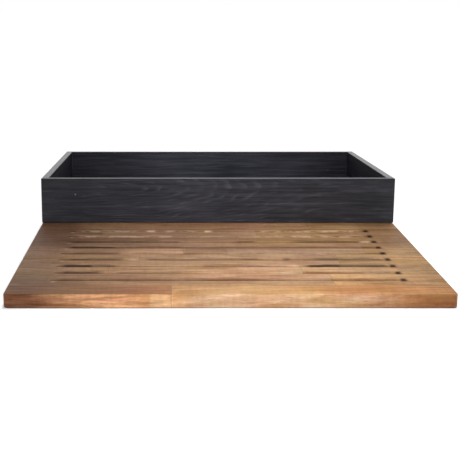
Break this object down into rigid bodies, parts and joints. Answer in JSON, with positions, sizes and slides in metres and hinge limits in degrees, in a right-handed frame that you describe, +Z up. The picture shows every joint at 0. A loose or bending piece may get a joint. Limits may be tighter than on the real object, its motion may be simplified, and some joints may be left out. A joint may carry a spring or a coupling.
{
  "type": "bread box with cutting board",
  "caption": "Shallow open wooden box leaning back on the rear edge of a grooved, stave-glued wooden cutting board that serves as its loose cover.",
  "frame": {"origin": "on the surface it stands on, under the middle of the whole", "axes": "+X to the right, +Y from the board's front edge towards the back of the box, +Z up"},
  "size_m": [0.6, 0.7935, 0.0966],
  "materials": {
    "black_stained_wood": "black stained softwood, open grain, satin",
    "bottom_wood": "black stained panel, satin",
    "dowel_wood": "raw hardwood",
    "board_wood": "oiled hardwood staves, satin"
  },
  "bodies": {
    "cutting_board": {"stave_row_1_left": "board_wood", "stave_row_1_right": "board_wood", "stave_row_2_left": "board_wood", "stave_row_2_right": "board_wood", "stave_row_3_left": "board_wood", "stave_row_3_middle": "board_wood", "stave_row_3_right": "board_wood", "stave_row_4_left": "board_wood", "stave_row_4_middle": "board_wood", "stave_row_4_right": "board_wood", "stave_row_5_left": "board_wood", "stave_row_5_middle": "board_wood", "stave_row_5_right": "board_wood", "stave_row_6_left": "board_wood", "stave_row_6_right": "board_wood", "stave_row_7_left": "board_wood", "stave_row_7_middle": "board_wood", "stave_row_7_right": "board_wood", "stave_row_8_left": "board_wood", "stave_row_8_middle": "board_wood", "stave_row_8_right": "board_wood"},
    "bread_box": {"front_panel": "black_stained_wood", "back_panel": "black_stained_wood", "left_side_panel": "black_stained_wood", "right_side_panel": "black_stained_wood", "bottom_panel": "bottom_wood", "dowels_front_left": "dowel_wood", "dowels_front_right": "dowel_wood", "dowels_back_left": "dowel_wood", "dowels_back_right": "dowel_wood"}
  },
  "joints": [
    {"name": "box_lift", "type": "slide", "parent": "cutting_board", "child": "bread_box", "axis": [0, 0, 1], "range_m": [0, 0.12]}
  ]
}
